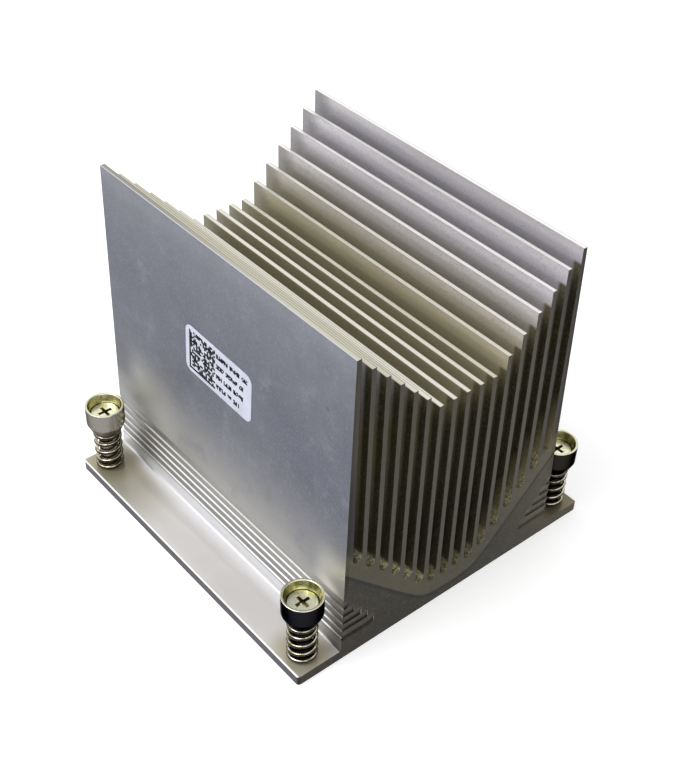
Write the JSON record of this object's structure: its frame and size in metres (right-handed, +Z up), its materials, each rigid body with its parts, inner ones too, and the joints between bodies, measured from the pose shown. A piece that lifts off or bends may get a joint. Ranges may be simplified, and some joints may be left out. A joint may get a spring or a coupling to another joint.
{
  "type": "cpu heatsink",
  "caption": "Passive server cpu heatsink: square flanged base, upright aluminium fins with a V-shaped valley, and a sprung captive screw in each corner.",
  "frame": {"origin": "centre of the flat underside of the base", "axes": "+Z up out of the base, X across the fins with the label on the -X side, Y along the fins"},
  "size_m": [0.09, 0.09, 0.085],
  "materials": {
    "aluminium_body": "extruded and cut, satin",
    "label_film": "printed film, satin",
    "plated_cup": "bright plating with a yellow tint",
    "plated_screw": "bright plating with a yellow tint",
    "spring_steel": "bright wire",
    "ring_steel": "stamped, plain"
  },
  "bodies": {
    "heatsink": {"heatsink_body": "aluminium_body", "label": "label_film", "spring_front_left": "spring_steel", "spring_front_right": "spring_steel", "spring_back_left": "spring_steel", "spring_back_right": "spring_steel"},
    "guide_front_left": {"guide_cup_front_left": "plated_cup", "retaining_ring_front_left": "ring_steel"},
    "turning_screw_front_left": {"screw_front_left": "plated_screw"},
    "guide_front_right": {"guide_cup_front_right": "plated_cup", "retaining_ring_front_right": "ring_steel"},
    "turning_screw_front_right": {"screw_front_right": "plated_screw"},
    "guide_back_left": {"guide_cup_back_left": "plated_cup", "retaining_ring_back_left": "ring_steel"},
    "turning_screw_back_left": {"screw_back_left": "plated_screw"},
    "guide_back_right": {"guide_cup_back_right": "plated_cup", "retaining_ring_back_right": "ring_steel"},
    "turning_screw_back_right": {"screw_back_right": "plated_screw"}
  },
  "joints": [
    {"name": "press_front_left", "type": "slide", "parent": "heatsink", "child": "guide_front_left", "axis": [0, 0, 1], "range_m": [-0.0045, 0], "stiffness_N_per_m": 2000, "springref_m": 0.002, "deforming": ["spring_front_left"]},
    {"name": "turn_front_left", "type": "hinge", "parent": "guide_front_left", "child": "turning_screw_front_left", "pos_m": [-0.04, -0.04, 0.0175], "axis": [0, 0, 1], "continuous": true},
    {"name": "press_front_right", "type": "slide", "parent": "heatsink", "child": "guide_front_right", "axis": [0, 0, 1], "range_m": [-0.0045, 0], "stiffness_N_per_m": 2000, "springref_m": 0.002, "deforming": ["spring_front_right"]},
    {"name": "turn_front_right", "type": "hinge", "parent": "guide_front_right", "child": "turning_screw_front_right", "pos_m": [0.04, -0.04, 0.0175], "axis": [0, 0, 1], "continuous": true},
    {"name": "press_back_left", "type": "slide", "parent": "heatsink", "child": "guide_back_left", "axis": [0, 0, 1], "range_m": [-0.0045, 0], "stiffness_N_per_m": 2000, "springref_m": 0.002, "deforming": ["spring_back_left"]},
    {"name": "turn_back_left", "type": "hinge", "parent": "guide_back_left", "child": "turning_screw_back_left", "pos_m": [-0.04, 0.04, 0.0175], "axis": [0, 0, 1], "continuous": true},
    {"name": "press_back_right", "type": "slide", "parent": "heatsink", "child": "guide_back_right", "axis": [0, 0, 1], "range_m": [-0.0045, 0], "stiffness_N_per_m": 2000, "springref_m": 0.002, "deforming": ["spring_back_right"]},
    {"name": "turn_back_right", "type": "hinge", "parent": "guide_back_right", "child": "turning_screw_back_right", "pos_m": [0.04, 0.04, 0.0175], "axis": [0, 0, 1], "continuous": true}
  ]
}
